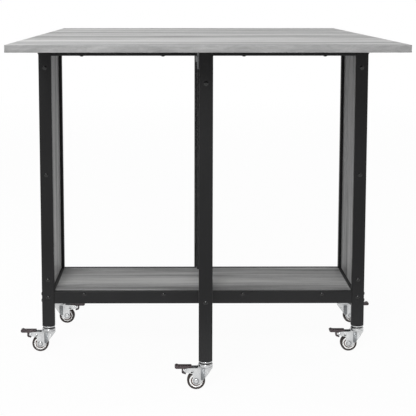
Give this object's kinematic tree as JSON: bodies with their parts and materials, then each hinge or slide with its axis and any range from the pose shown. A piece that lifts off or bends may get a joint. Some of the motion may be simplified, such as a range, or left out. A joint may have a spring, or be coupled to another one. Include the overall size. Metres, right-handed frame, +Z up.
{
  "type": "folding dining table",
  "caption": "Rolling drop-leaf dining table: a narrow steel trolley with wood side panels and a shelf, hinged leaves held up by swinging gate legs, and braked castors.",
  "frame": {"origin": "on the floor under the middle of the table top", "axes": "+Z up, +Y along the depth from the front leaf to the back leaf, +X to the right seen from the front"},
  "size_m": [0.8854, 1.2, 0.763],
  "materials": {
    "grey_oak_board": "matt grey oak decor",
    "black_frame": "black powder coat",
    "black_bolts": "black oxide",
    "zinc_steel": "bright zinc plate",
    "white_hub": "moulded",
    "brown_rubber": "matt",
    "brown_plastic": "moulded"
  },
  "bodies": {
    "trolley": {"board_screws": "black_bolts", "castor_stems": "zinc_steel", "centre_board": "grey_oak_board", "frame_bolts": "black_bolts", "hinge_fixed_wings": "zinc_steel", "hinge_pins": "zinc_steel", "leg_back_left": "black_frame", "leg_back_right": "black_frame", "leg_front_left": "black_frame", "leg_front_right": "black_frame", "pivot_brackets": "zinc_steel", "shelf_board": "grey_oak_board", "shelf_rail_back": "black_frame", "shelf_rail_front": "black_frame", "side_panel_left": "grey_oak_board", "side_panel_right": "grey_oak_board", "side_rails": "black_frame", "top_rail_back": "black_frame", "top_rail_front": "black_frame"},
    "leaf_front": {"leaf_front_board": "grey_oak_board", "leaf_front_hinge_screws": "zinc_steel", "leaf_front_hinge_wings": "zinc_steel"},
    "gate_front": {"gate_front_bolts": "black_bolts", "gate_front_castor_stem": "zinc_steel", "gate_front_leg": "black_frame", "gate_front_post": "black_frame", "gate_front_rails": "black_frame"},
    "leaf_back": {"leaf_back_board": "grey_oak_board", "leaf_back_hinge_screws": "zinc_steel", "leaf_back_hinge_wings": "zinc_steel"},
    "gate_back": {"gate_back_bolts": "black_bolts", "gate_back_castor_stem": "zinc_steel", "gate_back_leg": "black_frame", "gate_back_post": "black_frame", "gate_back_rails": "black_frame"},
    "castor_front_left": {"castor_front_left_fork": "zinc_steel"},
    "wheel_front_left": {"castor_front_left_hub": "white_hub", "castor_front_left_tyre": "brown_rubber"},
    "pedal_front_left": {"castor_front_left_pedal": "brown_plastic"},
    "castor_front_right": {"castor_front_right_fork": "zinc_steel"},
    "wheel_front_right": {"castor_front_right_hub": "white_hub", "castor_front_right_tyre": "brown_rubber"},
    "pedal_front_right": {"castor_front_right_pedal": "brown_plastic"},
    "castor_back_left": {"castor_back_left_fork": "zinc_steel"},
    "wheel_back_left": {"castor_back_left_hub": "white_hub", "castor_back_left_tyre": "brown_rubber"},
    "pedal_back_left": {"castor_back_left_pedal": "brown_plastic"},
    "castor_back_right": {"castor_back_right_fork": "zinc_steel"},
    "wheel_back_right": {"castor_back_right_hub": "white_hub", "castor_back_right_tyre": "brown_rubber"},
    "pedal_back_right": {"castor_back_right_pedal": "brown_plastic"},
    "castor_gate_front": {"castor_gate_front_fork": "zinc_steel"},
    "wheel_gate_front": {"castor_gate_front_hub": "white_hub", "castor_gate_front_tyre": "brown_rubber"},
    "pedal_gate_front": {"castor_gate_front_pedal": "brown_plastic"},
    "castor_gate_back": {"castor_gate_back_fork": "zinc_steel"},
    "wheel_gate_back": {"castor_gate_back_hub": "white_hub", "castor_gate_back_tyre": "brown_rubber"},
    "pedal_gate_back": {"castor_gate_back_pedal": "brown_plastic"}
  },
  "joints": [
    {"name": "leaf_front_hinge", "type": "hinge", "parent": "trolley", "child": "leaf_front", "pos_m": [0, -0.191, 0.7445], "axis": [-1, 0, 0], "range_deg": [0, 5]},
    {"name": "gate_front_swing", "type": "hinge", "parent": "trolley", "child": "gate_front", "pos_m": [0, -0.15027, 0.4], "axis": [0, 0, 1], "range_deg": [-90, 0]},
    {"name": "leaf_back_hinge", "type": "hinge", "parent": "trolley", "child": "leaf_back", "pos_m": [0, 0.191, 0.7445], "axis": [1, 0, 0], "range_deg": [0, 5]},
    {"name": "gate_back_swing", "type": "hinge", "parent": "trolley", "child": "gate_back", "pos_m": [0, 0.15027, 0.4], "axis": [0, 0, 1], "range_deg": [-90, 0]},
    {"name": "swivel_front_left", "type": "hinge", "parent": "trolley", "child": "castor_front_left", "pos_m": [-0.375, -0.125, 0.05], "axis": [0, 0, 1], "continuous": true},
    {"name": "roll_front_left", "type": "hinge", "parent": "castor_front_left", "child": "wheel_front_left", "pos_m": [-0.3955, -0.125, 0.02], "axis": [0, 1, 0], "continuous": true},
    {"name": "brake_front_left", "type": "hinge", "parent": "castor_front_left", "child": "pedal_front_left", "pos_m": [-0.4188, -0.125, 0.044], "axis": [0, -1, 0], "range_deg": [0, 12]},
    {"name": "swivel_front_right", "type": "hinge", "parent": "trolley", "child": "castor_front_right", "pos_m": [0.375, -0.125, 0.05], "axis": [0, 0, 1], "continuous": true},
    {"name": "roll_front_right", "type": "hinge", "parent": "castor_front_right", "child": "wheel_front_right", "pos_m": [0.3545, -0.125, 0.02], "axis": [0, 1, 0], "continuous": true},
    {"name": "brake_front_right", "type": "hinge", "parent": "castor_front_right", "child": "pedal_front_right", "pos_m": [0.3312, -0.125, 0.044], "axis": [0, -1, 0], "range_deg": [0, 12]},
    {"name": "swivel_back_left", "type": "hinge", "parent": "trolley", "child": "castor_back_left", "pos_m": [-0.375, 0.125, 0.05], "axis": [0, 0, 1], "continuous": true},
    {"name": "roll_back_left", "type": "hinge", "parent": "castor_back_left", "child": "wheel_back_left", "pos_m": [-0.3545, 0.125, 0.02], "axis": [0, 1, 0], "continuous": true},
    {"name": "brake_back_left", "type": "hinge", "parent": "castor_back_left", "child": "pedal_back_left", "pos_m": [-0.3312, 0.125, 0.044], "axis": [0, 1, 0], "range_deg": [0, 12]},
    {"name": "swivel_back_right", "type": "hinge", "parent": "trolley", "child": "castor_back_right", "pos_m": [0.375, 0.125, 0.05], "axis": [0, 0, 1], "continuous": true},
    {"name": "roll_back_right", "type": "hinge", "parent": "castor_back_right", "child": "wheel_back_right", "pos_m": [0.3955, 0.125, 0.02], "axis": [0, 1, 0], "continuous": true},
    {"name": "brake_back_right", "type": "hinge", "parent": "castor_back_right", "child": "pedal_back_right", "pos_m": [0.4188, 0.125, 0.044], "axis": [0, 1, 0], "range_deg": [0, 12]},
    {"name": "swivel_gate_front", "type": "hinge", "parent": "gate_front", "child": "castor_gate_front", "pos_m": [0, -0.40627, 0.05], "axis": [0, 0, 1], "continuous": true},
    {"name": "roll_gate_front", "type": "hinge", "parent": "castor_gate_front", "child": "wheel_gate_front", "pos_m": [-0.0205, -0.40627, 0.02], "axis": [0, 1, 0], "continuous": true},
    {"name": "brake_gate_front", "type": "hinge", "parent": "castor_gate_front", "child": "pedal_gate_front", "pos_m": [-0.0438, -0.40627, 0.044], "axis": [0, -1, 0], "range_deg": [0, 12]},
    {"name": "swivel_gate_back", "type": "hinge", "parent": "gate_back", "child": "castor_gate_back", "pos_m": [0, 0.40627, 0.05], "axis": [0, 0, 1], "continuous": true},
    {"name": "roll_gate_back", "type": "hinge", "parent": "castor_gate_back", "child": "wheel_gate_back", "pos_m": [0.0205, 0.40627, 0.02], "axis": [0, 1, 0], "continuous": true},
    {"name": "brake_gate_back", "type": "hinge", "parent": "castor_gate_back", "child": "pedal_gate_back", "pos_m": [0.0438, 0.40627, 0.044], "axis": [0, 1, 0], "range_deg": [0, 12]}
  ]
}
